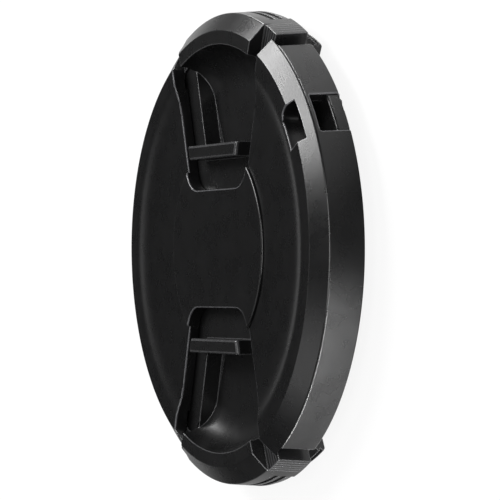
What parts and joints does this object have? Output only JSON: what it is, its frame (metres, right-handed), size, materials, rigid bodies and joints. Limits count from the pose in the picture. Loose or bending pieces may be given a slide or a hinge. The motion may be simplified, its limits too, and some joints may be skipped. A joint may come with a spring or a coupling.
{
  "type": "camera lens cap",
  "caption": "Round black centre-pinch lens cap: bevelled rim, dished front with a blank disc, opposed sprung pinch sliders with finger scoops and threaded clips, and a lanyard eyelet",
  "frame": {"origin": "centre of the seat, the plane of the rim's rear face that meets the lens", "axes": "+Z points out of the cap's front, +Y to the upper slider, +X to the side with the lanyard eyelet"},
  "size_m": [0.0706, 0.0722, 0.0108],
  "materials": {
    "shell_plastic": "satin black moulding with a fine grain",
    "slider_plastic": "satin black moulding",
    "back_plastic": "matte black moulding",
    "spring_steel": "bright spring wire"
  },
  "bodies": {
    "shell": {"front_shell": "shell_plastic", "back_plate": "back_plastic", "upper_left_spring": "spring_steel", "upper_right_spring": "spring_steel", "lower_left_spring": "spring_steel", "lower_right_spring": "spring_steel"},
    "upper_slider": {"upper_slider": "slider_plastic"},
    "lower_slider": {"lower_slider": "slider_plastic"}
  },
  "joints": [
    {"name": "upper_pinch", "type": "slide", "parent": "shell", "child": "upper_slider", "axis": [0, -1, 0], "range_m": [0, 0.0023], "stiffness_N_per_m": 1200, "springref_m": -0.003, "deforming": ["upper_left_spring", "upper_right_spring"]},
    {"name": "lower_pinch", "type": "slide", "parent": "shell", "child": "lower_slider", "axis": [0, 1, 0], "range_m": [0, 0.0023], "stiffness_N_per_m": 1200, "springref_m": -0.003, "deforming": ["lower_left_spring", "lower_right_spring"]}
  ]
}
